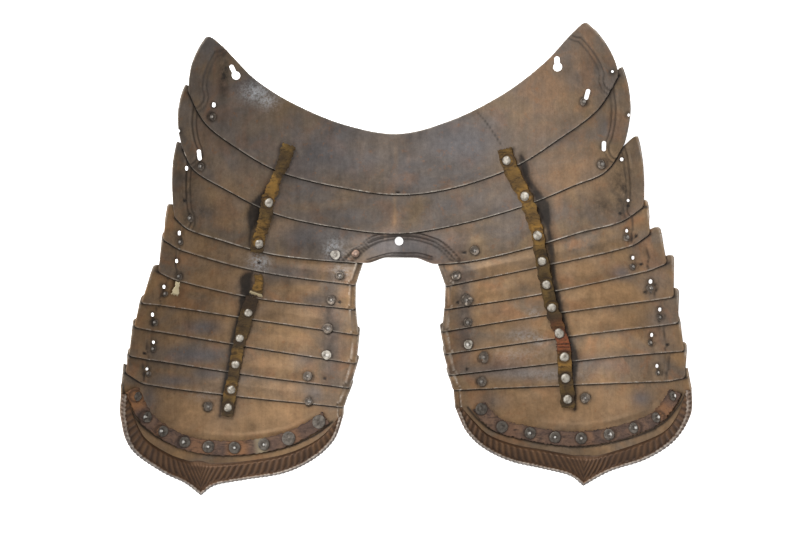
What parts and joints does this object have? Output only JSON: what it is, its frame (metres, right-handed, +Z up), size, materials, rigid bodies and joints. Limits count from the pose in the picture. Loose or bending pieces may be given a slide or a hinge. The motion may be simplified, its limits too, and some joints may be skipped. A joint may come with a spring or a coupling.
{
  "type": "fauld with laminated tassets from a plate corselet",
  "caption": "Waist and thigh defence of a plate corselet lying inside up: shingled steel plates on riveted leather straps, with lined, roped and pointed lower borders.",
  "frame": {"origin": "middle of the underside of the outline box, on the surface that the part lies on", "axes": "+X across the hips to the right as it lies, +Y towards the waist edge, +Z up from the surface towards the side of the body"},
  "size_m": [0.5324, 0.444, 0.1088],
  "materials": {
    "fauld_steel": "brown, patinated, hammered",
    "tasset_steel": "brown, patinated, hammered",
    "rope_steel": "brown, worn bright on the crests",
    "strap_leather": "old, ochre to red-brown",
    "lining_leather": "old, red-brown",
    "rivet_steel": "bright, hammered",
    "washer_steel": "dull grey"
  },
  "bodies": {
    "root": {"fauld_plate_1": "fauld_steel", "fauld_plate_2": "fauld_steel", "fauld_plate_3": "fauld_steel", "left_lame_4": "tasset_steel", "left_lame_5": "tasset_steel", "left_lame_6": "tasset_steel", "left_lame_7": "tasset_steel", "left_lame_8": "tasset_steel", "left_lame_9": "tasset_steel", "left_terminal": "tasset_steel", "left_rope": "rope_steel", "right_lame_4": "tasset_steel", "right_lame_5": "tasset_steel", "right_lame_6": "tasset_steel", "right_lame_7": "tasset_steel", "right_lame_8": "tasset_steel", "right_lame_9": "tasset_steel", "right_terminal": "tasset_steel", "right_rope": "rope_steel", "strap_left_upper": "strap_leather", "strap_left_remnant": "strap_leather", "strap_left_lower": "strap_leather", "strap_right": "strap_leather", "lining_left": "lining_leather", "lining_right": "lining_leather", "strap_left_rivet_01": "rivet_steel", "strap_left_rivet_02": "rivet_steel", "strap_left_rivet_03": "rivet_steel", "strap_left_rivet_04": "rivet_steel", "strap_left_rivet_05": "rivet_steel", "strap_left_rivet_06": "rivet_steel", "strap_left_rivet_07": "rivet_steel", "strap_right_rivet_08": "rivet_steel", "strap_right_rivet_09": "rivet_steel", "strap_right_rivet_10": "rivet_steel", "strap_right_rivet_11": "rivet_steel", "strap_right_rivet_12": "rivet_steel", "strap_right_rivet_13": "rivet_steel", "strap_right_rivet_14": "rivet_steel", "strap_right_rivet_15": "rivet_steel", "strap_right_rivet_16": "rivet_steel", "strap_right_rivet_17": "rivet_steel", "lining_left_washer_01": "washer_steel", "lining_left_washer_02": "washer_steel", "lining_left_washer_03": "washer_steel", "lining_left_washer_04": "washer_steel", "lining_left_washer_05": "washer_steel", "lining_left_washer_06": "washer_steel", "lining_left_washer_07": "washer_steel", "lining_left_washer_08": "washer_steel", "lining_left_washer_09": "washer_steel", "lining_right_washer_10": "washer_steel", "lining_right_washer_11": "washer_steel", "lining_right_washer_12": "washer_steel", "lining_right_washer_13": "washer_steel", "lining_right_washer_14": "washer_steel", "lining_right_washer_15": "washer_steel", "lining_right_washer_16": "washer_steel", "lining_right_washer_17": "washer_steel", "lining_right_washer_18": "washer_steel"}
  },
  "joints": []
}
